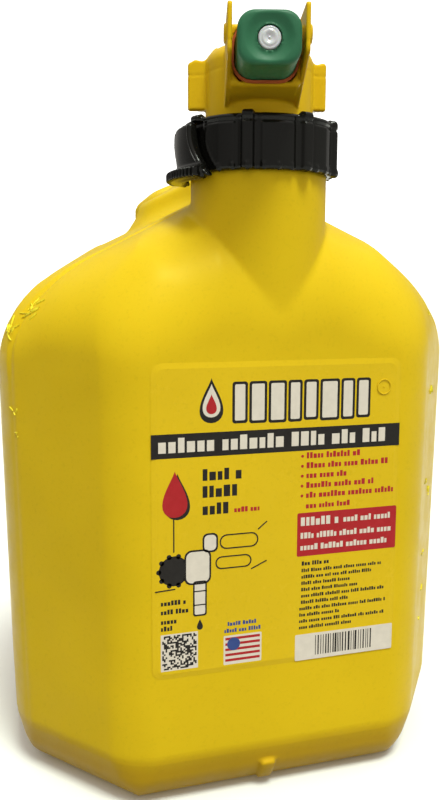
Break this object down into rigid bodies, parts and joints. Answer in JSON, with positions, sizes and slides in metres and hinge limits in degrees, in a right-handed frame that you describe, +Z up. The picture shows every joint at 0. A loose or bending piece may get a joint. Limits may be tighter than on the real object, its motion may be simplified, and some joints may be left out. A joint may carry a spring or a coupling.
{
  "type": "jerry can",
  "caption": "Upright blow-moulded jerry can with a chamfered body, a carrying grip behind the neck, a screw collar and a push-button pouring nozzle.",
  "frame": {"origin": "centre of the can's base, on the floor", "axes": "+Z up; -Y is the face with the label; the button points forward and 16.5 degrees towards -X"},
  "size_m": [0.2942, 0.3052, 0.4375],
  "materials": {
    "can_plastic": "semi-gloss yellow polyethylene",
    "nozzle_plastic": "semi-gloss deep yellow moulding",
    "label_film": "printed yellow film",
    "black_plastic": "glossy black moulding",
    "button_plastic": "satin green moulding",
    "clear_plastic": "milky white moulding",
    "orange_seal": "soft orange seal",
    "seal_rubber": "black fuel-resistant rubber",
    "spring_steel": "drawn wire",
    "screen_steel": "dull perforated steel"
  },
  "bodies": {
    "can": {"can_body": "can_plastic", "front_label": "label_film", "flame_arrestor_ring": "screen_steel", "flame_arrestor_screen": "screen_steel"},
    "carrier": {"neck_gasket": "seal_rubber"},
    "collar_ring": {"collar": "black_plastic"},
    "tab": {"collar_release_tab": "black_plastic"},
    "nozzle": {"nozzle_body": "nozzle_plastic", "button_seal": "orange_seal", "spring_seat": "screen_steel", "return_spring": "spring_steel", "valve_seat": "screen_steel", "spout": "nozzle_plastic", "spout_nut": "nozzle_plastic", "spout_o_ring": "seal_rubber", "vent_tube": "clear_plastic"},
    "button": {"push_button": "button_plastic", "button_plug": "clear_plastic", "valve_rod": "spring_steel", "rod_clip": "spring_steel", "valve_disc": "clear_plastic", "valve_o_ring": "seal_rubber"}
  },
  "joints": [
    {"name": "head_lift", "type": "slide", "parent": "can", "child": "carrier", "axis": [0, 0, 1], "range_m": [0, 0.0076]},
    {"name": "collar_turn", "type": "hinge", "parent": "carrier", "child": "collar_ring", "pos_m": [0, -0.091, 0.38], "axis": [0, 0, 1], "range_deg": [0, 450]},
    {"name": "tab_press", "type": "hinge", "parent": "collar_ring", "child": "tab", "pos_m": [-0.04517, -0.08942, 0.386], "axis": [-0.0349, -0.9994, 0], "range_deg": [0, 3], "stiffness_Nm_per_rad": 1.5, "springref_deg": -1.15},
    {"name": "nozzle_swivel", "type": "hinge", "parent": "carrier", "child": "nozzle", "pos_m": [0, -0.091, 0.39], "axis": [0, 0, 1], "continuous": true},
    {"name": "button_press", "type": "slide", "parent": "nozzle", "child": "button", "axis": [0.284, 0.9588, 0], "range_m": [0, 0.008], "stiffness_N_per_m": 900, "springref_m": -0.006, "deforming": ["return_spring"]}
  ],
  "couplings": [
    {"joint": "head_lift", "follows": "collar_turn", "m_per_rad": 0.00095493}
  ]
}
